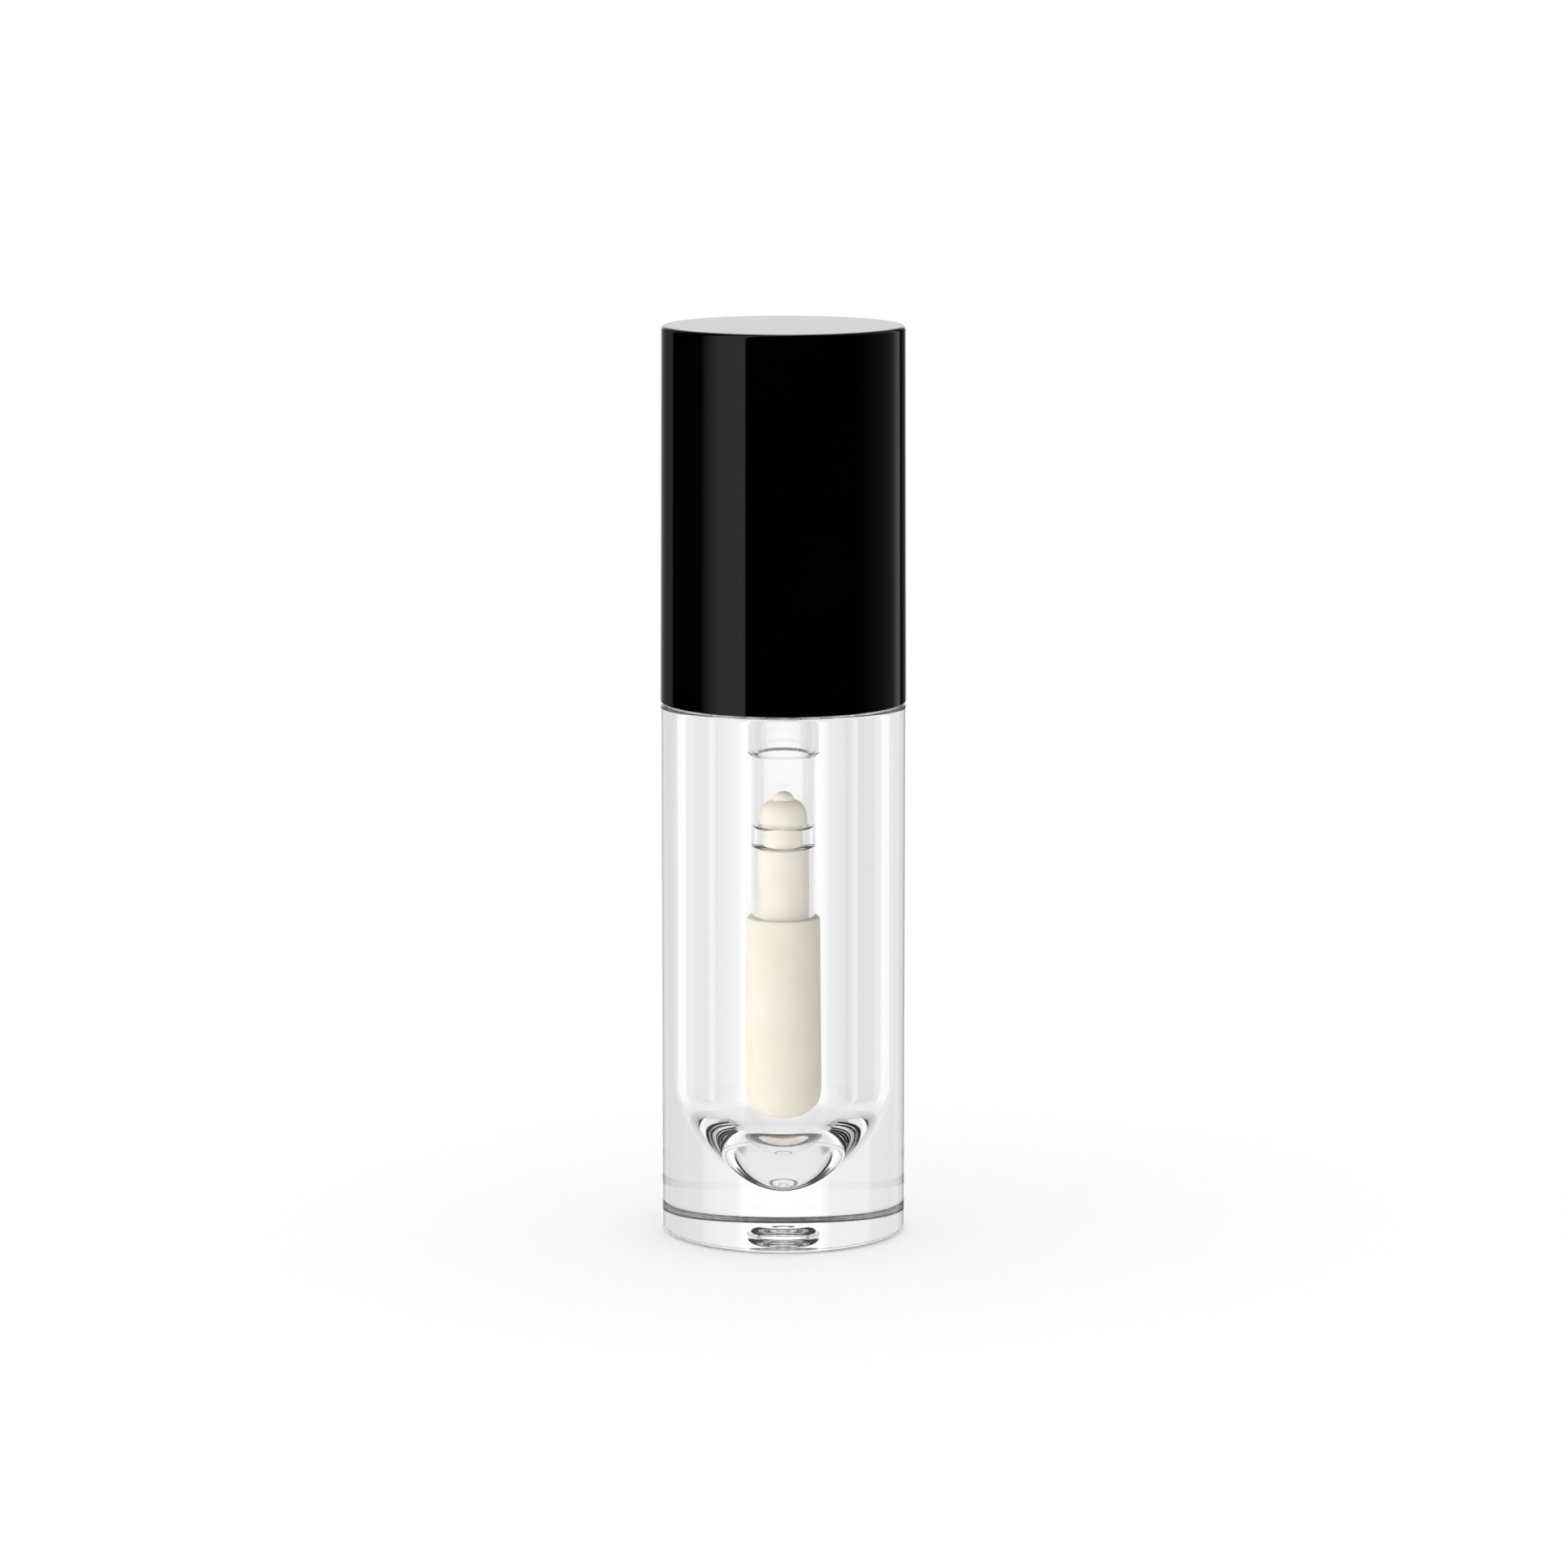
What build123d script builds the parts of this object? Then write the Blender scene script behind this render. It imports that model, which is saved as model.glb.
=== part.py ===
from build123d import *
import os

# Lip gloss tube: a thick-walled clear vial with a screw neck, a press-in wiper, and a
# two-piece screw cap that carries a hollow stem with a soft bullet-shaped applicator.
# Millimetres, +Z up. The origin is the centre of the base the tube stands on.

# ---- vial ----
VIAL_RADIUS = 9.97
VIAL_HEIGHT = 43.55  # base to shoulder
VIAL_WALL = 4.2  # heavy side wall between the outside and the gloss cavity
BASE_EDGE_ROUND = 0.5
SHOULDER_ROUND = 0.3
CAVITY_FLOOR = 3.8  # thickness of the base at its thinnest
CAVITY_BOWL_DEPTH = 8.0  # height of the rounded bottom of the cavity
BOWL_FLOOR_HANDLE = 0.45  # how long the bowl stays flat, as a share of the cavity radius
BOWL_WALL_HANDLE = 0.35  # how long the bowl stays upright, as a share of its depth
NECK_WALL = 1.0
NECK_HEIGHT = 11.45
NECK_ROOT_ROUND = 0.3
NECK_RIM_ROUND = 0.2

# ---- moulding gate: a dimple in the base with the snapped-off sprue at its centre ----
GATE_RADIUS = 1.9
GATE_DEPTH = 0.8
GATE_ROUND = 0.75
SPRUE_RADIUS = 0.55
SPRUE_DROP = 0.7

# ---- screw thread shared by the neck and the cap ----
THREAD_LEAD = 3.0
THREAD_TURNS = 1.25
THREAD_DEPTH = 0.7
THREAD_ROOT_WIDTH = 1.3
THREAD_CREST_WIDTH = 0.6
THREAD_RADIAL_CLEARANCE = 0.2
THREAD_AXIAL_CLEARANCE = 0.15
THREAD_START = 2.75  # height of the first turn above the shoulder
THREAD_ROOT_EMBED = 0.15  # how far a ridge is rooted in its wall

# ---- wiper ----
WIPER_LENGTH = 15.5  # rim of the neck down to the end of the lip
WIPER_WALL = 0.8
WIPER_PRESS_GAP = 0.03
WIPER_FLANGE_THICKNESS = 0.8
WIPER_FLANGE_INSET = 0.25  # flange edge inside the neck's outside
WIPER_PLUG_LENGTH = 8.5
WIPER_FUNNEL_HEIGHT = 1.9
LIP_WALL = 0.26
LIP_CLEARANCE = 0.03
LIP_BEVEL = 0.22  # bevel round the outside of the lip end

# ---- seal washer ----
WASHER_THICKNESS = 0.8
WASHER_EDGE_INSET = 0.1  # washer edge inside the wiper's flange
WASHER_HOLE_CLEARANCE = 0.1

# ---- wand stem ----
STEM_RADIUS = 2.6
STEM_WALL = 0.48
COLLAR_RADIUS = 4.4
COLLAR_THICKNESS = 1.0
COLLAR_GAP = 0.1
SOCKET_DEPTH = 7.3  # length of stem held inside the cap above its collar
BEAD_INSET = 0.1  # clear height left at each end of the tip's groove
BEAD_ROUND = 0.42
STEM_END_ROUND = 0.08

# ---- applicator tip ----
TIP_RADIUS = 3.12
TIP_TAPER = 0.12  # the shoulder is this much smaller in radius than the nose
TIP_LENGTH = 17.55
TIP_NOSE_HEIGHT = 3.6
TIP_FLOOR_GAP = 4.87  # free height between the nose and the floor of the cavity
TIP_SHOULDER_ROUND = 0.18
SHANK_LENGTH = 5.65
SHANK_GAP = 0.03
GROOVE_DEPTH = 0.5
GROOVE_HEIGHT = 2.0
HEAD_INSET = 0.17  # head edge inside the shank
HEAD_RIM_HEIGHT = 0.6
HEAD_DOME_HEIGHT = 1.35
NUB_RADIUS = 0.87
NUB_HEIGHT = 0.72

# ---- inner cap ----
INNER_CAP_WALL = 0.9
INNER_CAP_GAP = 0.65  # skirt edge above the vial's shoulder
CEILING_THICKNESS = 1.2
BOSS_WALL = 1.4
BOSS_TOP_WALL = 1.0
WAND_RUNNING_CLEARANCE = 0.05

# ---- outer cap ----
CAP_HEIGHT = 30.45
CAP_GAP = 0.2  # visible seam between the cap and the vial's shoulder
CAP_OVERHANG = 0.03  # cap edge proud of the vial
CAP_TAPER = 0.14  # the top is this much smaller in radius than the bottom
CAP_TOP_WALL = 1.25
CAP_PRESS_GAP = 0.03
CAP_TOP_ROUND = 0.35
CAP_MOUTH_CHAMFER = 0.2
CAP_INSIDE_ROUND = 0.6

# ---- a cubic Bezier with its handles this share of each half axis long is a quarter of an ellipse ----
QUARTER_ELLIPSE = 0.5523

# ---- derived radii ----
cavity_radius = VIAL_RADIUS - VIAL_WALL
neck_radius = cavity_radius + NECK_WALL
plug_radius = cavity_radius - WIPER_PRESS_GAP
plug_bore_radius = plug_radius - WIPER_WALL
flange_radius = neck_radius - WIPER_FLANGE_INSET
lip_bore_radius = STEM_RADIUS + LIP_CLEARANCE
lip_radius = lip_bore_radius + LIP_WALL
washer_radius = flange_radius - WASHER_EDGE_INSET
washer_hole_radius = STEM_RADIUS + WASHER_HOLE_CLEARANCE
stem_bore_radius = STEM_RADIUS - STEM_WALL
tip_shoulder_radius = TIP_RADIUS - TIP_TAPER
shank_radius = stem_bore_radius - SHANK_GAP
groove_radius = shank_radius - GROOVE_DEPTH
bead_radius = groove_radius + SHANK_GAP
head_radius = shank_radius - HEAD_INSET
head_step = head_radius - NUB_RADIUS
inner_cap_bore = neck_radius + THREAD_DEPTH + THREAD_RADIAL_CLEARANCE
inner_cap_radius = inner_cap_bore + INNER_CAP_WALL
socket_radius = STEM_RADIUS + WAND_RUNNING_CLEARANCE
boss_radius = socket_radius + BOSS_WALL
cap_bore = inner_cap_radius + CAP_PRESS_GAP
cap_mouth_radius = VIAL_RADIUS + CAP_OVERHANG
cap_top_radius = cap_mouth_radius - CAP_TAPER

# ---- derived heights ----
neck_top = VIAL_HEIGHT + NECK_HEIGHT
bowl_top = CAVITY_FLOOR + CAVITY_BOWL_DEPTH
neck_thread_start = VIAL_HEIGHT + THREAD_START
thread_mean_width = (THREAD_ROOT_WIDTH + THREAD_CREST_WIDTH) / 2
cap_thread_start = neck_thread_start - thread_mean_width - THREAD_AXIAL_CLEARANCE
flange_top = neck_top + WIPER_FLANGE_THICKNESS
lip_end = neck_top - WIPER_LENGTH
plug_end = neck_top - WIPER_PLUG_LENGTH
funnel_end = plug_end - WIPER_FUNNEL_HEIGHT
washer_top = flange_top + WASHER_THICKNESS
collar_bottom = washer_top + COLLAR_GAP
collar_top = collar_bottom + COLLAR_THICKNESS
stem_top = collar_top + SOCKET_DEPTH
nose_z = CAVITY_FLOOR + TIP_FLOOR_GAP
nose_top = nose_z + TIP_NOSE_HEIGHT
tip_shoulder = nose_z + TIP_LENGTH
groove_bottom = tip_shoulder + SHANK_LENGTH
groove_top = groove_bottom + GROOVE_HEIGHT
head_rim_top = groove_top + HEAD_RIM_HEIGHT
head_dome_top = head_rim_top + HEAD_DOME_HEIGHT
nub_top = head_dome_top + NUB_HEIGHT
skirt_bottom = VIAL_HEIGHT + INNER_CAP_GAP
ceiling_bottom = collar_top + WAND_RUNNING_CLEARANCE
ceiling_top = ceiling_bottom + CEILING_THICKNESS
socket_top = stem_top + WAND_RUNNING_CLEARANCE
boss_top = socket_top + BOSS_TOP_WALL
cap_bottom = VIAL_HEIGHT + CAP_GAP
cap_top = cap_bottom + CAP_HEIGHT

# ---- vial: one moulding, body, neck, thread and gate mark ----
with BuildPart() as vial:
    with BuildSketch(Plane.XZ) as vial_outline:
        with BuildLine():
            Polyline(
                (0, 0),
                (VIAL_RADIUS, 0),
                (VIAL_RADIUS, VIAL_HEIGHT),
                (neck_radius, VIAL_HEIGHT),
                (neck_radius, neck_top),
                (0, neck_top),
                close=True,
            )
        make_face()
        side_corners = vial_outline.vertices().group_by(Axis.X)[-1].sort_by(Axis.Y)
        fillet(side_corners[0], BASE_EDGE_ROUND)
        fillet(side_corners[-1], SHOULDER_ROUND)
        neck_corners = vial_outline.vertices().filter_by(lambda v: abs(v.X - neck_radius) < 1e-6)
        fillet(neck_corners.sort_by(Axis.Y)[0], NECK_ROOT_ROUND)
        fillet(neck_corners.sort_by(Axis.Y)[-1], NECK_RIM_ROUND)
    revolve(axis=Axis.Z)
    with BuildSketch(Plane.XZ):
        with BuildLine():
            bowl = Bezier(
                (0, CAVITY_FLOOR),
                (cavity_radius * BOWL_FLOOR_HANDLE, CAVITY_FLOOR),
                (cavity_radius, bowl_top - CAVITY_BOWL_DEPTH * BOWL_WALL_HANDLE),
                (cavity_radius, bowl_top),
            )
            Polyline(bowl @ 1, (cavity_radius, neck_top), (0, neck_top), bowl @ 0)
        make_face()
    revolve(axis=Axis.Z, mode=Mode.SUBTRACT)
    with BuildSketch(Plane.XZ) as gate_outline:
        with BuildLine():
            Polyline(
                (SPRUE_RADIUS, 0),
                (GATE_RADIUS, 0),
                (GATE_RADIUS, GATE_DEPTH),
                (SPRUE_RADIUS, GATE_DEPTH),
                close=True,
            )
        make_face()
        fillet(gate_outline.vertices().group_by(Axis.X)[-1].sort_by(Axis.Y)[-1], GATE_ROUND)
    revolve(axis=Axis.Z, mode=Mode.SUBTRACT)
    with BuildSketch(Plane.XY):
        Circle(SPRUE_RADIUS)
    extrude(amount=GATE_DEPTH - SPRUE_DROP, mode=Mode.SUBTRACT)
    with BuildLine() as neck_helix:
        Helix(
            pitch=THREAD_LEAD,
            height=THREAD_LEAD * THREAD_TURNS,
            radius=neck_radius,
            center=(0, 0, neck_thread_start),
        )
    helix_start = neck_helix.line
    with BuildSketch(Plane(helix_start @ 0, x_dir=(1, 0, 0), z_dir=helix_start % 0)):
        with BuildLine():
            Polyline(
                (-THREAD_ROOT_EMBED, -THREAD_ROOT_WIDTH / 2),
                (0, -THREAD_ROOT_WIDTH / 2),
                (THREAD_DEPTH, -THREAD_CREST_WIDTH / 2),
                (THREAD_DEPTH, THREAD_CREST_WIDTH / 2),
                (0, THREAD_ROOT_WIDTH / 2),
                (-THREAD_ROOT_EMBED, THREAD_ROOT_WIDTH / 2),
                close=True,
            )
        make_face()
    sweep(path=neck_helix.wires()[0], is_frenet=True)
vial.part.label = "vial"

# ---- wiper: flanged plug pressed into the neck, funnelling to a thin wiping lip ----
with BuildPart() as wiper:
    with BuildSketch(Plane.XZ):
        with BuildLine():
            Polyline(
                (lip_bore_radius, lip_end),
                (lip_radius - LIP_BEVEL, lip_end),
                (lip_radius, lip_end + LIP_BEVEL),
                (lip_radius, funnel_end),
                (plug_radius, plug_end),
                (plug_radius, neck_top),
                (flange_radius, neck_top),
                (flange_radius, flange_top),
                (plug_bore_radius, flange_top),
                (plug_bore_radius, plug_end + WIPER_WALL),
                (lip_bore_radius, funnel_end + LIP_WALL),
                close=True,
            )
        make_face()
    revolve(axis=Axis.Z)
wiper.part.label = "wiper"

# ---- seal washer: flat foam ring between the wiper's flange and the stem's collar ----
with BuildPart() as seal_washer:
    with BuildSketch(Plane.XY.offset(flange_top)):
        Circle(washer_radius)
        Circle(washer_hole_radius, mode=Mode.SUBTRACT)
    extrude(amount=WASHER_THICKNESS)
seal_washer.part.label = "seal_washer"

# ---- wand stem: hollow rod, collar at the top, snap bead inside its lower end ----
with BuildPart() as wand_stem:
    with BuildSketch(Plane.XZ) as stem_outline:
        with BuildLine():
            Polyline(
                (stem_bore_radius, tip_shoulder),
                (STEM_RADIUS, tip_shoulder),
                (STEM_RADIUS, collar_bottom),
                (COLLAR_RADIUS, collar_bottom),
                (COLLAR_RADIUS, collar_top),
                (STEM_RADIUS, collar_top),
                (STEM_RADIUS, stem_top),
                (stem_bore_radius, stem_top),
                close=True,
            )
        make_face()
        fillet(stem_outline.vertices().group_by(Axis.Y)[0], STEM_END_ROUND)
    revolve(axis=Axis.Z)
    with BuildSketch(Plane.XZ) as bead_outline:
        with BuildLine():
            Polyline(
                (bead_radius, groove_bottom + BEAD_INSET),
                (stem_bore_radius + STEM_WALL / 2, groove_bottom + BEAD_INSET),
                (stem_bore_radius + STEM_WALL / 2, groove_top - BEAD_INSET),
                (bead_radius, groove_top - BEAD_INSET),
                close=True,
            )
        make_face()
        fillet(bead_outline.vertices().group_by(Axis.X)[0], BEAD_ROUND)
    revolve(axis=Axis.Z)
wand_stem.part.label = "wand_stem"

# ---- applicator tip: soft bullet with a shank, snap groove and domed head above it ----
with BuildPart() as applicator_tip:
    with BuildSketch(Plane.XZ) as tip_outline:
        with BuildLine():
            nose = Bezier(
                (0, nose_z),
                (TIP_RADIUS * QUARTER_ELLIPSE, nose_z),
                (TIP_RADIUS, nose_top - TIP_NOSE_HEIGHT * QUARTER_ELLIPSE),
                (TIP_RADIUS, nose_top),
            )
            Polyline(
                nose @ 1,
                (tip_shoulder_radius, tip_shoulder),
                (shank_radius, tip_shoulder),
                (shank_radius, groove_bottom),
                (groove_radius, groove_bottom),
                (groove_radius, groove_top),
                (head_radius, groove_top),
                (head_radius, head_rim_top),
            )
            Bezier(
                (head_radius, head_rim_top),
                (head_radius, head_rim_top + HEAD_DOME_HEIGHT * QUARTER_ELLIPSE),
                (NUB_RADIUS + head_step * QUARTER_ELLIPSE, head_dome_top),
                (NUB_RADIUS, head_dome_top),
            )
            Bezier(
                (NUB_RADIUS, head_dome_top),
                (NUB_RADIUS, head_dome_top + NUB_HEIGHT * QUARTER_ELLIPSE),
                (NUB_RADIUS * QUARTER_ELLIPSE, nub_top),
                (0, nub_top),
            )
            Line((0, nub_top), (0, nose_z))
        make_face()
        rim = tip_outline.vertices().filter_by(lambda v: abs(v.X - tip_shoulder_radius) < 1e-6)
        fillet(rim.sort_by(Axis.Y)[-1], TIP_SHOULDER_ROUND)
    revolve(axis=Axis.Z)
applicator_tip.part.label = "applicator_tip"

# ---- inner cap: threaded liner with a blind socket that holds the stem ----
with BuildPart() as inner_cap:
    with BuildSketch(Plane.XZ):
        with BuildLine():
            Polyline(
                (inner_cap_bore, skirt_bottom),
                (inner_cap_radius, skirt_bottom),
                (inner_cap_radius, ceiling_top),
                (boss_radius, ceiling_top),
                (boss_radius, boss_top),
                (0, boss_top),
                (0, socket_top),
                (socket_radius, socket_top),
                (socket_radius, ceiling_bottom),
                (inner_cap_bore, ceiling_bottom),
                close=True,
            )
        make_face()
    revolve(axis=Axis.Z)
    with BuildLine() as cap_helix:
        Helix(
            pitch=THREAD_LEAD,
            height=THREAD_LEAD * THREAD_TURNS,
            radius=inner_cap_bore,
            center=(0, 0, cap_thread_start),
        )
    cap_helix_start = cap_helix.line
    with BuildSketch(Plane(cap_helix_start @ 0, x_dir=(1, 0, 0), z_dir=cap_helix_start % 0)):
        with BuildLine():
            Polyline(
                (THREAD_ROOT_EMBED, -THREAD_ROOT_WIDTH / 2),
                (0, -THREAD_ROOT_WIDTH / 2),
                (-THREAD_DEPTH, -THREAD_CREST_WIDTH / 2),
                (-THREAD_DEPTH, THREAD_CREST_WIDTH / 2),
                (0, THREAD_ROOT_WIDTH / 2),
                (THREAD_ROOT_EMBED, THREAD_ROOT_WIDTH / 2),
                close=True,
            )
        make_face()
    sweep(path=cap_helix.wires()[0], is_frenet=True)
inner_cap.part.label = "inner_cap"

# ---- cap shell: glossy outer cap with a slight draft and a flat top ----
with BuildPart() as cap_shell:
    with BuildSketch(Plane.XZ) as shell_outline:
        with BuildLine():
            Polyline(
                (0, cap_bottom),
                (cap_mouth_radius, cap_bottom),
                (cap_top_radius, cap_top),
                (0, cap_top),
                close=True,
            )
        make_face()
        top_corner = shell_outline.vertices().group_by(Axis.Y)[-1].sort_by(Axis.X)[-1]
        fillet(top_corner, CAP_TOP_ROUND)
    revolve(axis=Axis.Z)
    with BuildSketch(Plane.XZ) as shell_hollow:
        with BuildLine():
            Polyline(
                (0, cap_bottom),
                (cap_bore + CAP_MOUTH_CHAMFER, cap_bottom),
                (cap_bore, cap_bottom + CAP_MOUTH_CHAMFER),
                (cap_bore, cap_top - CAP_TOP_WALL),
                (0, cap_top - CAP_TOP_WALL),
                close=True,
            )
        make_face()
        inside_corner = shell_hollow.vertices().group_by(Axis.Y)[-1].sort_by(Axis.X)[-1]
        fillet(inside_corner, CAP_INSIDE_ROUND)
    revolve(axis=Axis.Z, mode=Mode.SUBTRACT)
cap_shell.part.label = "cap_shell"

# ---- one STEP file for each piece ----
os.makedirs("parts", exist_ok=True)
export_step(vial.part, "parts/vial.step")
export_step(wiper.part, "parts/wiper.step")
export_step(seal_washer.part, "parts/seal_washer.step")
export_step(wand_stem.part, "parts/wand_stem.step")
export_step(applicator_tip.part, "parts/applicator_tip.step")
export_step(inner_cap.part, "parts/inner_cap.step")
export_step(cap_shell.part, "parts/cap_shell.step")
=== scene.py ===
import bpy
import math
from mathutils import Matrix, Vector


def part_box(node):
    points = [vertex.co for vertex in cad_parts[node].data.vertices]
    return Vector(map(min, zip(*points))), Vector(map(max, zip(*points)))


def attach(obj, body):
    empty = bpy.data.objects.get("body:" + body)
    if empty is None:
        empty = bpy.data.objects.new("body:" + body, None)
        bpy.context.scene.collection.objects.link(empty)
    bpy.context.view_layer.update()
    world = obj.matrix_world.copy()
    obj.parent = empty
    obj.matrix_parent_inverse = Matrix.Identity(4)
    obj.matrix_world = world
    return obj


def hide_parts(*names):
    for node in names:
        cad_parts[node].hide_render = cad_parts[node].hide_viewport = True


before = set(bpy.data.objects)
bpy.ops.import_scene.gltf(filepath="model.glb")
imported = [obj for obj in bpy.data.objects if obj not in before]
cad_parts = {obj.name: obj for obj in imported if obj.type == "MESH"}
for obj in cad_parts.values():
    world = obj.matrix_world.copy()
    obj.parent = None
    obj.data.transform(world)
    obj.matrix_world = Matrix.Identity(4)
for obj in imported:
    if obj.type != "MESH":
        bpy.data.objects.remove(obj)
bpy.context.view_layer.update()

# ---------------------------------------------------------------------------
# Sizes. Outer sizes come from the frame; walls and small details are named here.
# ---------------------------------------------------------------------------
MM = 0.001
SEGMENTS = 320  # facets round a clear piece
SEGMENTS_OPAQUE = 192
EDGE_HOLD = 0.03 * MM  # how far from its ends a long straight run gets an extra point
LONG_RUN = 8 * EDGE_HOLD
SAME_POINT = 1e-7  # metres
ON_AXIS = 1e-8
SHARP_ANGLE = math.radians(28)
VIAL_IOR = 1.57
THIN_CLEAR_IOR = 1.5  # wiper and stem

vial_low, vial_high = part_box("vial")
wiper_low, wiper_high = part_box("wiper")
stem_low, stem_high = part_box("wand_stem")
tip_low, tip_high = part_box("applicator_tip")
cap_low, cap_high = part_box("cap_shell")

VIAL_WALL = 4.2 * MM
NECK_WALL = 1.0 * MM
NECK_HEIGHT = 11.45 * MM
BASE_EDGE_ROUND = 0.5 * MM
SHOULDER_ROUND = 0.3 * MM
NECK_ROOT_ROUND = 0.3 * MM
NECK_RIM_ROUND = 0.2 * MM
CAVITY_FLOOR = 3.8 * MM
BOWL_DEPTH = 8.0 * MM
BOWL_FLOOR_HANDLE = 0.45  # share of the cavity radius
BOWL_WALL_HANDLE = 0.35  # share of the bowl's depth
GATE_RADIUS = 1.9 * MM
GATE_DEPTH = 0.8 * MM
GATE_ROUND = 0.75 * MM
SPRUE_RADIUS = 0.55 * MM
SPRUE_DROP = 0.7 * MM
SPRUE_ROUND = 0.1 * MM
THREAD_LEAD = 3.0 * MM
THREAD_TURNS = 1.25
THREAD_DEPTH = 0.7 * MM
THREAD_ROOT_WIDTH = 1.3 * MM
THREAD_CREST_WIDTH = 0.6 * MM
THREAD_START = 2.75 * MM
THREAD_FADE = math.radians(24)  # each end of the ridge runs out over this turn
NECK_ROWS = 150

WIPER_WALL = 0.8 * MM
WIPER_PLUG_LENGTH = 8.5 * MM
WIPER_FUNNEL_HEIGHT = 1.9 * MM
WIPER_PRESS_GAP = 0.03 * MM
LIP_WALL = 0.26 * MM
LIP_CLEARANCE = 0.03 * MM
LIP_BEVEL = 0.22 * MM

STEM_RADIUS = 2.6 * MM
STEM_WALL = 0.48 * MM
COLLAR_THICKNESS = 1.0 * MM
SOCKET_DEPTH = 7.3 * MM
BEAD_INSET = 0.1 * MM
BEAD_ROUND = 0.42 * MM
STEM_END_ROUND = 0.08 * MM

TIP_TAPER = 0.12 * MM
TIP_NOSE_HEIGHT = 3.6 * MM
TIP_SHOULDER_ROUND = 0.18 * MM
SHANK_LENGTH = 5.65 * MM
SHANK_GAP = 0.03 * MM
GROOVE_DEPTH = 0.5 * MM
GROOVE_HEIGHT = 2.0 * MM
HEAD_INSET = 0.17 * MM
HEAD_RIM_HEIGHT = 0.6 * MM
HEAD_DOME_HEIGHT = 1.35 * MM
NUB_RADIUS = 0.87 * MM
SOFT_ROUND = 0.1 * MM

CAP_TAPER = 0.14 * MM
CAP_BORE = 8.6 * MM
CAP_TOP_WALL = 1.25 * MM
CAP_TOP_ROUND = 0.35 * MM
CAP_MOUTH_CHAMFER = 0.2 * MM
CAP_MOUTH_ROUND = 0.08 * MM
CAP_INSIDE_ROUND = 0.6 * MM

FLOOR_GAP = 0.06 * MM  # air between the base and the floor, so the base reflects inside as a real one does


# ---------------------------------------------------------------------------
# Outlines: lists of (radius, height) points, with round stretches as formulas
# ---------------------------------------------------------------------------
def arc(centre, radii, start, end, steps=12):
    """Points on an ellipse quarter or part, from angle start to end in degrees."""
    points = []
    for i in range(steps + 1):
        angle = math.radians(start + (end - start) * i / steps)
        points.append((centre[0] + radii[0] * math.cos(angle), centre[1] + radii[1] * math.sin(angle)))
    return points


def round_arc(centre, radius, start, end, steps=12):
    """Points on part of a circle."""
    return arc(centre, (radius, radius), start, end, steps)


def curve(start, start_handle, end_handle, end, steps=64):
    """Points on a cubic Bezier."""
    points = []
    for i in range(steps + 1):
        t = i / steps
        shares = ((1 - t) ** 3, 3 * t * (1 - t) ** 2, 3 * t * t * (1 - t), t ** 3)
        weighted = list(zip(shares, (start, start_handle, end_handle, end)))
        points.append(tuple(sum(share * point[axis] for share, point in weighted) for axis in (0, 1)))
    return points


def outline(*stretches):
    """Join stretches of points without doubles, with a point near each end of a long straight run."""
    points = []
    for stretch in stretches:
        for point in stretch if isinstance(stretch, list) else [stretch]:
            if not points or math.dist(points[-1], point) > SAME_POINT:
                points.append(point)
    held = [points[0]]
    for before, after in zip(points, points[1:]):
        length = math.dist(before, after)
        if length > LONG_RUN:
            for share in (EDGE_HOLD / length, 1 - EDGE_HOLD / length):
                held.append(tuple(low + (high - low) * share for low, high in zip(before, after)))
        held.append(after)
    return held


def lathe(name, points, segments, closed=False, swell=None):
    """Turn an outline about Z. swell(angle, radius, height) returns a changed radius."""
    rings = []
    vertices = []
    for radius, height in points:
        if radius < ON_AXIS:
            rings.append([len(vertices)])
            vertices.append((0.0, 0.0, height))
            continue
        ring = []
        for k in range(segments):
            angle = 2 * math.pi * k / segments
            r = swell(angle, radius, height) if swell else radius
            ring.append(len(vertices))
            vertices.append((r * math.cos(angle), r * math.sin(angle), height))
        rings.append(ring)
    faces = []
    pairs = list(zip(rings, rings[1:]))
    if closed:
        pairs.append((rings[-1], rings[0]))
    for lower, upper in pairs:
        for k in range(segments):
            k2 = (k + 1) % segments
            if len(lower) == 1 and len(upper) > 1:
                faces.append((lower[0], upper[k2], upper[k]))
            elif len(upper) == 1 and len(lower) > 1:
                faces.append((lower[k], lower[k2], upper[0]))
            elif len(lower) > 1:
                faces.append((lower[k], lower[k2], upper[k2], upper[k]))
    mesh = bpy.data.meshes.new(name)
    mesh.from_pydata(vertices, [], faces)
    mesh.update()
    mesh.polygons.foreach_set("use_smooth", [True] * len(mesh.polygons))
    mesh.set_sharp_from_angle(angle=SHARP_ANGLE)
    piece = bpy.data.objects.new(name, mesh)
    bpy.context.scene.collection.objects.link(piece)
    return piece


def dress(piece, material, body, node):
    piece.data.materials.append(material)
    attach(piece, body)
    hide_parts(node)


# ---------------------------------------------------------------------------
# Materials
# ---------------------------------------------------------------------------
def new_material(name):
    material = bpy.data.materials.new(name)
    material.use_nodes = True
    nodes = material.node_tree.nodes
    return material, nodes, material.node_tree.links, nodes["Principled BSDF"]


def noise(nodes, links, scale, detail, stretch=(1.0, 1.0, 1.0)):
    coords = nodes.new("ShaderNodeTexCoord")
    mapping = nodes.new("ShaderNodeMapping")
    mapping.inputs["Scale"].default_value = stretch
    texture = nodes.new("ShaderNodeTexNoise")
    texture.inputs["Scale"].default_value = scale
    texture.inputs["Detail"].default_value = detail
    links.new(coords.outputs["Object"], mapping.inputs["Vector"])
    links.new(mapping.outputs["Vector"], texture.inputs["Vector"])
    return texture.outputs["Fac"]


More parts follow.
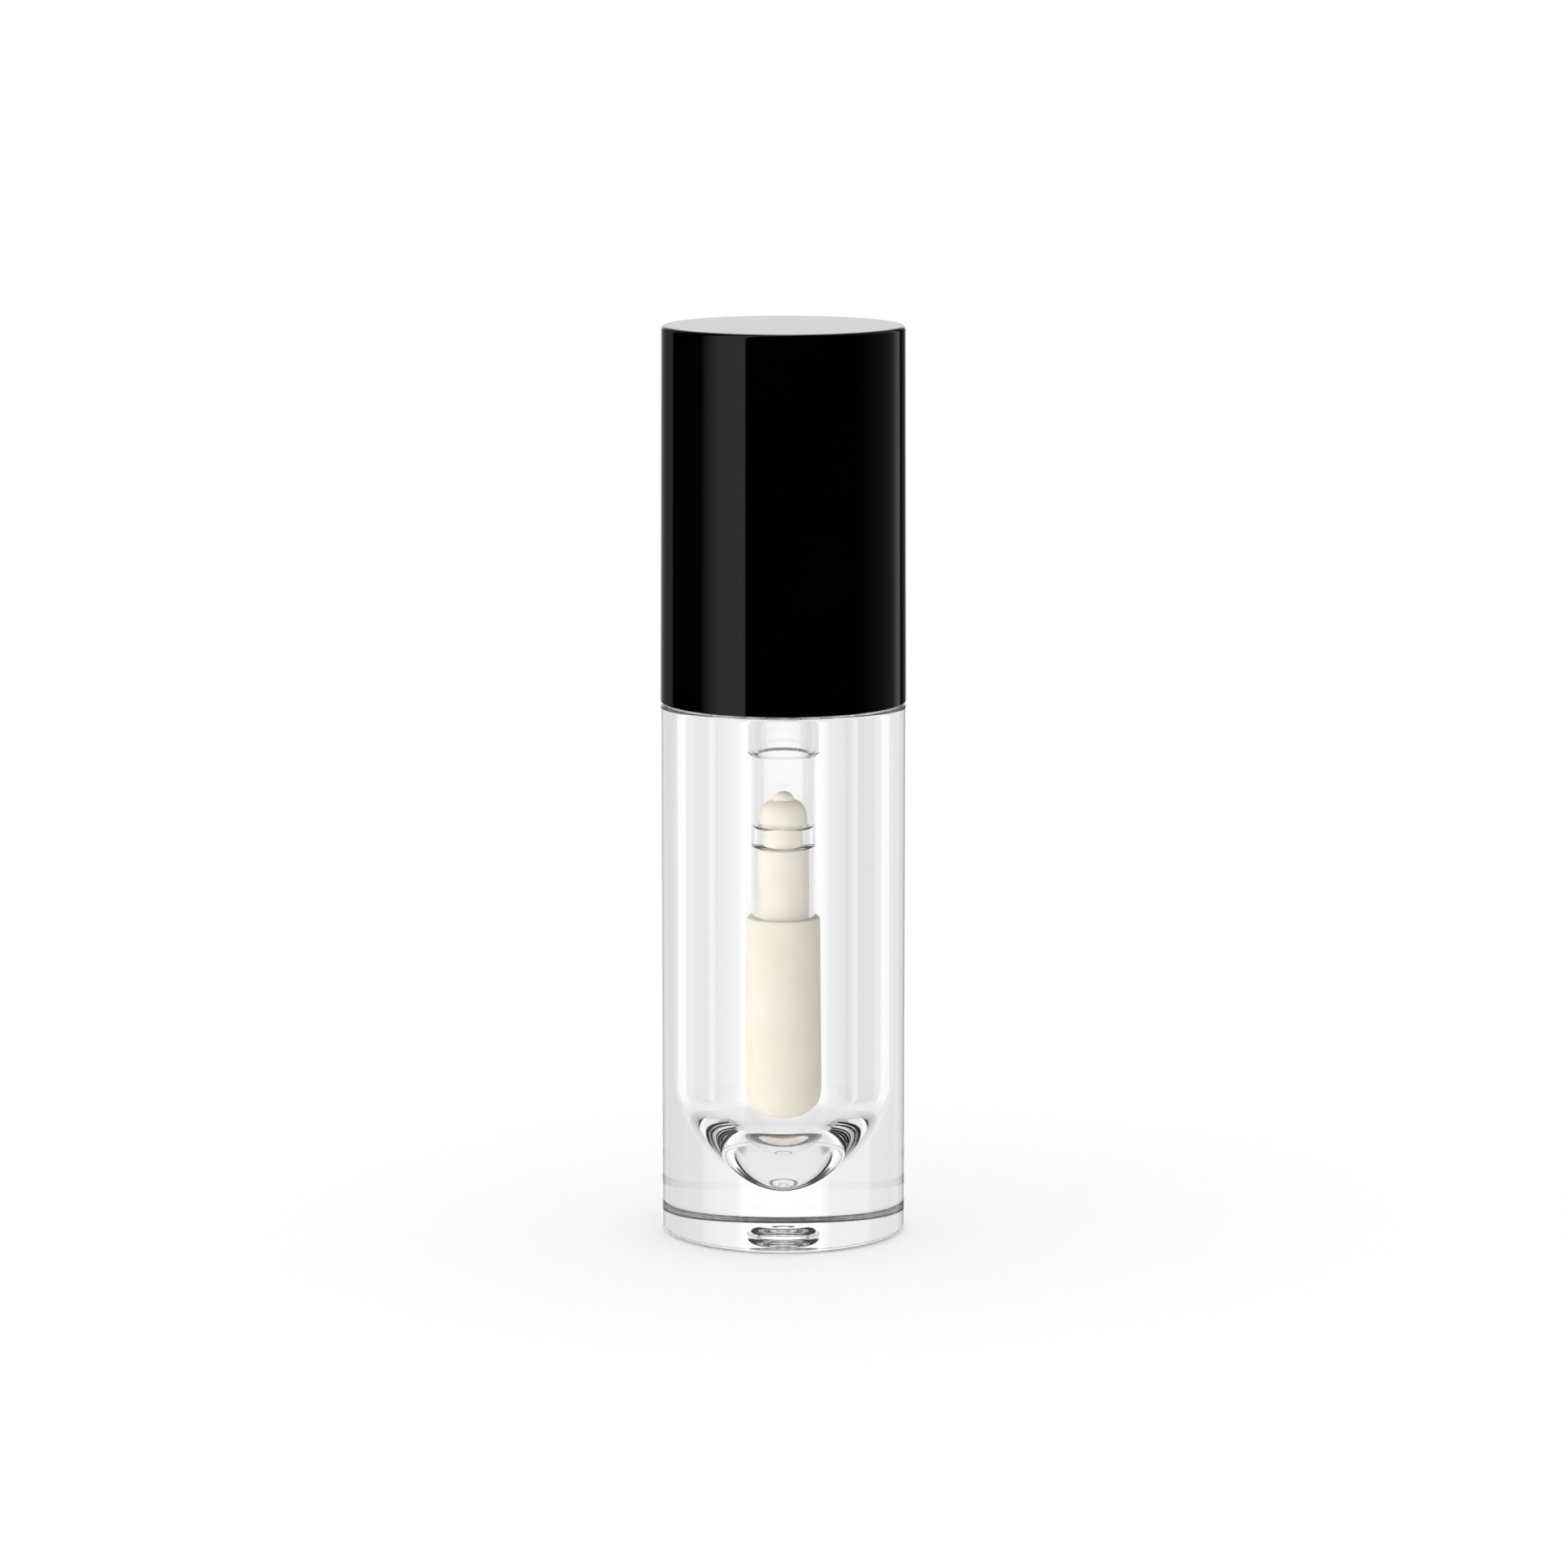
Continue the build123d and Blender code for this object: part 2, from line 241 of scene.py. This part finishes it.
def between(nodes, links, fac, low, high):
    """Spread a 0..1 value over low..high."""
    spread = nodes.new("ShaderNodeMapRange")
    spread.inputs["From Min"].default_value = 0.3
    spread.inputs["From Max"].default_value = 0.7
    spread.inputs["To Min"].default_value = low
    spread.inputs["To Max"].default_value = high
    links.new(fac, spread.inputs["Value"])
    return spread.outputs["Result"]


def tint(nodes, links, fac, dark, light):
    ramp = nodes.new("ShaderNodeValToRGB")
    ramp.color_ramp.elements[0].position = 0.3
    ramp.color_ramp.elements[0].color = (*dark, 1)
    ramp.color_ramp.elements[1].position = 0.7
    ramp.color_ramp.elements[1].color = (*light, 1)
    links.new(fac, ramp.inputs["Fac"])
    return ramp.outputs["Color"]


def bump(nodes, links, fac, shader, distance, strength=1.0):
    node = nodes.new("ShaderNodeBump")
    node.inputs["Distance"].default_value = distance
    node.inputs["Strength"].default_value = strength
    links.new(fac, node.inputs["Height"])
    links.new(node.outputs["Normal"], shader.inputs["Normal"])


def clear_plastic(name, ior, colour):
    """Polished clear plastic with faint handling marks in its gloss."""
    material, nodes, links, shader = new_material(name)
    shader.inputs["Base Color"].default_value = (*colour, 1)
    shader.inputs["Transmission Weight"].default_value = 1.0
    shader.inputs["IOR"].default_value = ior
    marks = noise(nodes, links, 260, 3)
    links.new(between(nodes, links, marks, 0.0, 0.012), shader.inputs["Roughness"])
    return material


def black_gloss():
    """High-gloss black moulded cap: deep, mirror-like, with the faintest moulding ripple."""
    material, nodes, links, shader = new_material("black_gloss_plastic")
    cloud = noise(nodes, links, 90, 3)
    links.new(tint(nodes, links, cloud, (0.0002, 0.0002, 0.0003), (0.0005, 0.0005, 0.0006)),
              shader.inputs["Base Color"])
    smear = noise(nodes, links, 420, 4, (1, 1, 0.4))
    links.new(between(nodes, links, smear, 0.012, 0.04), shader.inputs["Roughness"])
    shader.inputs["IOR"].default_value = 1.49
    bump(nodes, links, noise(nodes, links, 140, 2), shader, 0.0000016)
    return material


def soft_cream():
    """Soft cream elastomer of the applicator: satin, slightly translucent, fine flocked grain."""
    material, nodes, links, shader = new_material("soft_cream_elastomer")
    cloud = noise(nodes, links, 500, 4)
    colour = tint(nodes, links, cloud, (0.90, 0.815, 0.675), (0.94, 0.865, 0.74))
    links.new(colour, shader.inputs["Base Color"])
    links.new(between(nodes, links, noise(nodes, links, 2500, 3), 0.42, 0.6), shader.inputs["Roughness"])
    shader.inputs["Subsurface Weight"].default_value = 0.25
    shader.inputs["Subsurface Radius"].default_value = (1.0, 0.75, 0.5)
    shader.inputs["Subsurface Scale"].default_value = 0.0006
    bump(nodes, links, noise(nodes, links, 5200, 3), shader, 0.00001, 0.35)
    return material


def natural_moulding():
    """Milky natural polypropylene of the inner cap."""
    material, nodes, links, shader = new_material("natural_polypropylene")
    cloud = noise(nodes, links, 160, 3)
    colour = tint(nodes, links, cloud, (0.74, 0.74, 0.72), (0.82, 0.82, 0.80))
    links.new(colour, shader.inputs["Base Color"])
    links.new(between(nodes, links, noise(nodes, links, 900, 3), 0.28, 0.42), shader.inputs["Roughness"])
    bump(nodes, links, noise(nodes, links, 1400, 2), shader, 0.00001, 0.3)
    return material


def foam():
    """Closed-cell polyethylene foam of the seal washer."""
    material, nodes, links, shader = new_material("sealing_foam")
    coords = nodes.new("ShaderNodeTexCoord")
    cells = nodes.new("ShaderNodeTexVoronoi")
    cells.inputs["Scale"].default_value = 4200
    links.new(coords.outputs["Object"], cells.inputs["Vector"])
    links.new(tint(nodes, links, cells.outputs["Distance"], (0.70, 0.70, 0.68), (0.86, 0.86, 0.84)),
              shader.inputs["Base Color"])
    links.new(between(nodes, links, noise(nodes, links, 800, 2), 0.7, 0.85), shader.inputs["Roughness"])
    bump(nodes, links, cells.outputs["Distance"], shader, 0.00004, 0.5)
    return material


def floor_paint():
    """Pale studio floor with the least unevenness."""
    material, nodes, links, shader = new_material("pale_floor")
    cloud = noise(nodes, links, 3, 3)
    colour = tint(nodes, links, cloud, (0.97, 0.97, 0.97), (0.98, 0.98, 0.98))
    links.new(colour, shader.inputs["Base Color"])
    shader.inputs["Roughness"].default_value = 0.9
    shader.inputs["Specular IOR Level"].default_value = 0.1
    return material


# ---------------------------------------------------------------------------
# Vial: body, rounded cavity, gate mark and threaded neck in one clear shell
# ---------------------------------------------------------------------------
vial_radius = vial_high[0]
neck_top = vial_high[2]
shoulder = neck_top - NECK_HEIGHT
cavity_radius = vial_radius - VIAL_WALL
neck_radius = cavity_radius + NECK_WALL
bowl_top = CAVITY_FLOOR + BOWL_DEPTH


def thread_height(angle, height):
    """How far the thread ridge stands out of the neck at this place."""
    best = 0.0
    for turn in range(math.ceil(THREAD_TURNS)):
        along = angle + 2 * math.pi * turn
        end = 2 * math.pi * THREAD_TURNS
        if along > end:
            continue
        off_centre = abs(height - (shoulder + THREAD_START + THREAD_LEAD * along / (2 * math.pi)))
        flank = (THREAD_ROOT_WIDTH / 2 - off_centre) / ((THREAD_ROOT_WIDTH - THREAD_CREST_WIDTH) / 2)
        fade = min(1.0, along / THREAD_FADE, (end - along) / THREAD_FADE)
        flank = min(1.0, max(0.0, flank))
        best = max(best, THREAD_DEPTH * flank * flank * (3 - 2 * flank) * fade)
    return best


def neck_swell(angle, radius, height):
    on_neck = abs(radius - neck_radius) < SAME_POINT and height > shoulder + NECK_ROOT_ROUND
    return radius + (thread_height(angle, height) if on_neck else 0.0)


neck_bottom = shoulder + NECK_ROOT_ROUND
neck_end = neck_top - NECK_RIM_ROUND
neck_step = (neck_end - neck_bottom) / NECK_ROWS
neck_side = [(neck_radius, neck_bottom + neck_step * i) for i in range(NECK_ROWS + 1)]

vial_outline = outline(
    (0.0, GATE_DEPTH - SPRUE_DROP),
    round_arc((SPRUE_RADIUS - SPRUE_ROUND, GATE_DEPTH - SPRUE_DROP + SPRUE_ROUND), SPRUE_ROUND, -90, 0, 6),
    (SPRUE_RADIUS, GATE_DEPTH - SPRUE_ROUND),
    round_arc((SPRUE_RADIUS + SPRUE_ROUND, GATE_DEPTH - SPRUE_ROUND), SPRUE_ROUND, 180, 90, 6),
    round_arc((GATE_RADIUS - GATE_ROUND, GATE_DEPTH - GATE_ROUND), GATE_ROUND, 90, 0, 14),
    (GATE_RADIUS, 0.0),
    round_arc((vial_radius - BASE_EDGE_ROUND, BASE_EDGE_ROUND), BASE_EDGE_ROUND, -90, 0, 16),
    round_arc((vial_radius - SHOULDER_ROUND, shoulder - SHOULDER_ROUND), SHOULDER_ROUND, 0, 90, 10),
    round_arc((neck_radius + NECK_ROOT_ROUND, shoulder + NECK_ROOT_ROUND), NECK_ROOT_ROUND, 270, 180, 8),
    neck_side,
    round_arc((neck_radius - NECK_RIM_ROUND, neck_top - NECK_RIM_ROUND), NECK_RIM_ROUND, 0, 90, 8),
    (cavity_radius, neck_top),
    curve((cavity_radius, bowl_top), (cavity_radius, bowl_top - BOWL_DEPTH * BOWL_WALL_HANDLE),
          (cavity_radius * BOWL_FLOOR_HANDLE, CAVITY_FLOOR), (0.0, CAVITY_FLOOR)),
)
vial = lathe("vial_clear_body", vial_outline, SEGMENTS, swell=neck_swell)
vial_plastic = clear_plastic("clear_vial_plastic", VIAL_IOR, (0.995, 0.998, 1.0))
dress(vial, vial_plastic, "bottle", "vial")

# ---------------------------------------------------------------------------
# Wiper: flange, plug, funnel and thin wiping lip
# ---------------------------------------------------------------------------
flange_radius = wiper_high[0]
flange_top = wiper_high[2]
lip_end = wiper_low[2]
plug_radius = cavity_radius - WIPER_PRESS_GAP
plug_bore = plug_radius - WIPER_WALL
plug_end = neck_top - WIPER_PLUG_LENGTH
funnel_end = plug_end - WIPER_FUNNEL_HEIGHT
lip_bore = STEM_RADIUS + LIP_CLEARANCE
lip_radius = lip_bore + LIP_WALL

wiper_outline = outline(
    (lip_radius - LIP_BEVEL, lip_end),
    (lip_radius, lip_end + LIP_BEVEL),
    (lip_radius, funnel_end),
    (plug_radius, plug_end),
    (plug_radius, neck_top),
    (flange_radius, neck_top),
    (flange_radius, flange_top),
    (plug_bore, flange_top),
    (plug_bore, plug_end + WIPER_WALL),
    (lip_bore, funnel_end + LIP_WALL),
    (lip_bore, lip_end),
)
wiper = lathe("wiper_clear_plug", wiper_outline, SEGMENTS, closed=True)
wiper_plastic = clear_plastic("clear_wiper_plastic", THIN_CLEAR_IOR, (0.99, 0.99, 0.99))
dress(wiper, wiper_plastic, "bottle", "wiper")

# ---------------------------------------------------------------------------
# Wand stem: hollow rod with its collar and inner snap bead
# ---------------------------------------------------------------------------
tip_shoulder = stem_low[2]
stem_top = stem_high[2]
collar_radius = stem_high[0]
collar_top = stem_top - SOCKET_DEPTH
collar_bottom = collar_top - COLLAR_THICKNESS
stem_bore = STEM_RADIUS - STEM_WALL
shank_radius = stem_bore - SHANK_GAP
groove_radius = shank_radius - GROOVE_DEPTH
groove_bottom = tip_shoulder + SHANK_LENGTH
groove_top = groove_bottom + GROOVE_HEIGHT
bead_radius = groove_radius + SHANK_GAP
bead_low = groove_bottom + BEAD_INSET
bead_high = groove_top - BEAD_INSET

stem_outline = outline(
    round_arc((STEM_RADIUS - STEM_END_ROUND, tip_shoulder + STEM_END_ROUND), STEM_END_ROUND, -90, 0, 6),
    (STEM_RADIUS, collar_bottom),
    (collar_radius, collar_bottom),
    (collar_radius, collar_top),
    (STEM_RADIUS, collar_top),
    (STEM_RADIUS, stem_top),
    (stem_bore, stem_top),
    (stem_bore, bead_high),
    round_arc((bead_radius + BEAD_ROUND, bead_high - BEAD_ROUND), BEAD_ROUND, 90, 180, 8),
    round_arc((bead_radius + BEAD_ROUND, bead_low + BEAD_ROUND), BEAD_ROUND, 180, 270, 8),
    (stem_bore, bead_low),
    round_arc((stem_bore + STEM_END_ROUND, tip_shoulder + STEM_END_ROUND), STEM_END_ROUND, 180, 270, 6),
)
stem = lathe("wand_clear_stem", stem_outline, SEGMENTS, closed=True)
stem_plastic = clear_plastic("clear_stem_plastic", THIN_CLEAR_IOR, (0.99, 0.992, 0.995))
dress(stem, stem_plastic, "wand", "wand_stem")

# ---------------------------------------------------------------------------
# Applicator tip: soft bullet, shank, snap groove, domed head and nub
# ---------------------------------------------------------------------------
tip_radius = tip_high[0]
nose = tip_low[2]
head_radius = shank_radius - HEAD_INSET
head_rim_top = groove_top + HEAD_RIM_HEIGHT
head_dome_top = head_rim_top + HEAD_DOME_HEIGHT
nub_height = tip_high[2] - head_dome_top

tip_outline = outline(
    arc((0.0, nose + TIP_NOSE_HEIGHT), (tip_radius, TIP_NOSE_HEIGHT), -90, 0, 36),
    arc((tip_radius - TIP_TAPER - TIP_SHOULDER_ROUND, tip_shoulder - TIP_SHOULDER_ROUND),
        (TIP_SHOULDER_ROUND, TIP_SHOULDER_ROUND), 0, 90, 8),
    (shank_radius, tip_shoulder),
    round_arc((shank_radius - SOFT_ROUND, groove_bottom - SOFT_ROUND), SOFT_ROUND, 0, 90, 6),
    (groove_radius, groove_bottom),
    (groove_radius, groove_top),
    round_arc((head_radius - SOFT_ROUND, groove_top + SOFT_ROUND), SOFT_ROUND, -90, 0, 6),
    arc((NUB_RADIUS, head_rim_top), (head_radius - NUB_RADIUS, HEAD_DOME_HEIGHT), 0, 90, 16),
    arc((0.0, head_dome_top), (NUB_RADIUS, nub_height), 0, 90, 14),
)
tip = lathe("applicator_soft_tip", tip_outline, SEGMENTS_OPAQUE)
dress(tip, soft_cream(), "wand", "applicator_tip")

# ---------------------------------------------------------------------------
# Cap shell: glossy black, slight draft, flat top with a fine edge
# ---------------------------------------------------------------------------
cap_mouth = cap_high[0]
cap_bottom = cap_low[2]
cap_top = cap_high[2]
cap_top_radius = cap_mouth - CAP_TAPER
inside_top = cap_top - CAP_TOP_WALL
mouth_edge = cap_mouth - CAP_MOUTH_ROUND

cap_outline = outline(
    (0.0, inside_top),
    round_arc((CAP_BORE - CAP_INSIDE_ROUND, inside_top - CAP_INSIDE_ROUND), CAP_INSIDE_ROUND, 90, 0, 8),
    (CAP_BORE, cap_bottom + CAP_MOUTH_CHAMFER),
    (CAP_BORE + CAP_MOUTH_CHAMFER, cap_bottom),
    round_arc((mouth_edge, cap_bottom + CAP_MOUTH_ROUND), CAP_MOUTH_ROUND, -90, 0, 6),
    round_arc((cap_top_radius - CAP_TOP_ROUND, cap_top - CAP_TOP_ROUND), CAP_TOP_ROUND, 0, 90, 12),
    (0.0, cap_top),
)
cap = lathe("cap_black_shell", cap_outline, SEGMENTS)
dress(cap, black_gloss(), "cap", "cap_shell")

# ---------------------------------------------------------------------------
# Pieces kept as the CAD made them, hidden by the cap while the tube is closed
# ---------------------------------------------------------------------------
for node, material in (("inner_cap", natural_moulding()), ("seal_washer", foam())):
    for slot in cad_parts[node].material_slots:
        slot.material = material

# ---------------------------------------------------------------------------
# Floor
# ---------------------------------------------------------------------------
FLOOR_SIZE = 6.0
floor_mesh = bpy.data.meshes.new("studio_floor")
half = FLOOR_SIZE / 2
floor_mesh.from_pydata(
    [(x * half, y * half, -FLOOR_GAP) for x, y in ((-1, -1), (1, -1), (1, 1), (-1, 1))],
    [], [(0, 1, 2, 3)])
floor = bpy.data.objects.new("studio_floor", floor_mesh)
bpy.context.scene.collection.objects.link(floor)
floor.data.materials.append(floor_paint())
floor.visible_glossy = False
floor.visible_transmission = False

# ---------------------------------------------------------------------------
# Studio: one soft room, given as several views of it by kind of ray, so that each kind of
# piece can be lit by itself. The camera sees a white backdrop. Diffuse rays see the soft
# key and fill. Glossy rays see black flags and strip lights. Rays through clear plastic see
# the backdrop with its grey wings and a dark ceiling, and those that light a piece inside
# the clear ones see a soft key, which is raised for what is inside the stem as well.
# ---------------------------------------------------------------------------
world = bpy.data.worlds.new("studio")
bpy.context.scene.world = world
world.use_nodes = True
world.cycles.sampling_method = "NONE"
w_nodes = world.node_tree.nodes
w_links = world.node_tree.links
w_nodes.clear()


def w_math(operation, a, b=None):
    node = w_nodes.new("ShaderNodeMath")
    node.operation = operation
    for socket, value in zip(node.inputs, (a, b)):
        if value is None:
            continue
        if isinstance(value, (int, float)):
            socket.default_value = value
        else:
            w_links.new(value, socket)
    return node.outputs[0]


direction = w_nodes.new("ShaderNodeTexCoord").outputs["Generated"]
split = w_nodes.new("ShaderNodeSeparateXYZ")
w_links.new(direction, split.inputs[0])
# 0 is straight in front of the object, 0.25 its left as seen there, 0.5 behind, 0.75 its right
azimuth = w_math("ARCTAN2", split.outputs["X"], split.outputs["Y"])
around = w_math("ADD", w_math("DIVIDE", azimuth, 2 * math.pi), 0.5)
height = w_math("ADD", w_math("MULTIPLY", split.outputs["Z"], 0.5), 0.5)


def w_ramp(fac, stops):
    """A grey ramp; stops are (place from 0 to 1, radiance)."""
    node = w_nodes.new("ShaderNodeValToRGB")
    ramp = node.color_ramp
    while len(ramp.elements) < len(stops):
        ramp.elements.new(0.5)
    for element, (place, value) in zip(ramp.elements, stops):
        element.position = place
        element.color = (value, value, value, 1)
    w_links.new(fac, node.inputs["Fac"])
    return node.outputs["Color"]


def bearing(degrees_from_behind):
    """Place on the ramp: 0 behind the object, negative to the left, positive to the right."""
    return 0.5 + degrees_from_behind / 360


def rise(degrees_above_horizon):
    """Place on the height ramp."""
    return 0.5 + math.sin(math.radians(degrees_above_horizon)) / 2


gloss_view = w_ramp(around, [
    (bearing(-145), 0.0), (bearing(-143), 0.75), (bearing(-117), 0.6), (bearing(-96), 0.0),
    (bearing(-54), 0.0), (bearing(-52), 0.17), (bearing(-34), 0.12), (bearing(-20), 0.3),
    (bearing(-12), 1.05), (bearing(12), 1.05), (bearing(19), 0.13), (bearing(30), 0.04), (bearing(37), 0.0),
    (bearing(41), 0.45), (bearing(44), 0.48), (bearing(50), 0.34), (bearing(56), 0.14), (bearing(103), 0.0),
])
clear_side = w_ramp(around, [
    (bearing(-154), 1.0), (bearing(-150), 0.86), (bearing(-104), 0.86), (bearing(-100), 0.5),
    (bearing(-82), 0.5), (bearing(-78), 0.92), (bearing(-70), 0.92), (bearing(-67), 0.84),
    (bearing(-38), 0.84), (bearing(-36), 0.91), (bearing(-17), 0.92), (bearing(-13), 1.08),
    (bearing(13), 1.08), (bearing(17), 0.9), (bearing(31), 0.87),
    (bearing(35), 0.8), (bearing(67), 0.8), (bearing(70), 0.92), (bearing(78), 0.92), (bearing(82), 0.5),
    (bearing(100), 0.5), (bearing(104), 0.84), (bearing(150), 0.84), (bearing(154), 1.0),
])
clear_rise = w_ramp(height, [
    (rise(-90), 0.0), (rise(19), 0.0), (rise(26), 1.0),
])
clear_drop = w_ramp(height, [
    (rise(-34), 1.0), (rise(-24), 0.0),
])
soft_view = w_ramp(around, [
    (bearing(-180), 1.08), (bearing(-110), 1.25), (bearing(-40), 1.1), (bearing(0), 1.05),
    (bearing(70), 1.0), (bearing(130), 0.95), (bearing(180), 1.08),
])
inner_view = w_ramp(around, [
    (bearing(-180), 1.7), (bearing(-110), 2.6), (bearing(-40), 1.7), (bearing(0), 1.2),
    (bearing(70), 0.7), (bearing(130), 0.85), (bearing(180), 1.7),
])

path = w_nodes.new("ShaderNodeLightPath")


def w_mix(fac, first, second):
    node = w_nodes.new("ShaderNodeMix")
    node.data_type = "RGBA"
    inputs = node.inputs
    for socket, value in ((inputs["Factor"], fac), (inputs["A"], first), (inputs["B"], second)):
        w_links.new(value, socket)
    return node.outputs["Result"]


def w_grey(value):
    node = w_nodes.new("ShaderNodeRGB")
    node.outputs[0].default_value = (value, value, value, 1)
    return node.outputs[0]


def w_scale(colour, share):
    node = w_nodes.new("ShaderNodeVectorMath")
    node.operation = "SCALE"
    node.inputs["Scale"].default_value = share
    w_links.new(colour, node.inputs[0])
    return node.outputs[0]


BELOW_LEVEL = 0.9
CEILING_LEVEL = 0.03
BACKDROP_LEVEL = 1.05
DIRECT = 0.5  # fewer diffuse bounces than this is none
DEEP = 6.5  # more clear surfaces than this is light to or from inside the stem
DEEP_GAIN = 1.9

clear_view = w_mix(clear_drop, clear_side, w_grey(BELOW_LEVEL))
clear_view = w_mix(clear_rise, clear_view, w_grey(CEILING_LEVEL))
first_hand = w_math("LESS_THAN", path.outputs["Diffuse Depth"], DIRECT)
colour = w_mix(w_math("MULTIPLY", path.outputs["Is Glossy Ray"], first_hand), soft_view, gloss_view)
deep = w_math("GREATER_THAN", path.outputs["Transmission Depth"], DEEP)
inside = w_mix(deep, inner_view, w_scale(inner_view, DEEP_GAIN))
through = w_mix(first_hand, inside, clear_view)
colour = w_mix(path.outputs["Is Transmission Ray"], colour, through)
colour = w_mix(path.outputs["Is Camera Ray"], colour, w_grey(BACKDROP_LEVEL))
background = w_nodes.new("ShaderNodeBackground")
world_output = w_nodes.new("ShaderNodeOutputWorld")
w_links.new(colour, background.inputs["Color"])
w_links.new(background.outputs[0], world_output.inputs["Surface"])

# ---------------------------------------------------------------------------
# Camera and picture settings
# ---------------------------------------------------------------------------
CAMERA_DISTANCE = 472.66 * MM
CAMERA_HEIGHT = 112.14 * MM
CAMERA_PITCH = math.radians(9.052)
CAMERA_LENS = 135.06

camera_data = bpy.data.cameras.new("camera")
camera_data.lens = CAMERA_LENS
camera_data.sensor_width = 36.0
camera_data.clip_start = 0.01
camera = bpy.data.objects.new("camera", camera_data)
bpy.context.scene.collection.objects.link(camera)
camera.location = (0.05 * MM, -CAMERA_DISTANCE, CAMERA_HEIGHT)
camera.rotation_euler = (math.pi / 2 - CAMERA_PITCH, 0.0, 0.0)
bpy.context.scene.camera = camera

scene = bpy.context.scene
scene.view_settings.view_transform = "Standard"
scene.cycles.max_bounces = 40
scene.cycles.transmission_bounces = 40
scene.cycles.glossy_bounces = 32
scene.cycles.diffuse_bounces = 4
scene.cycles.transparent_max_bounces = 16
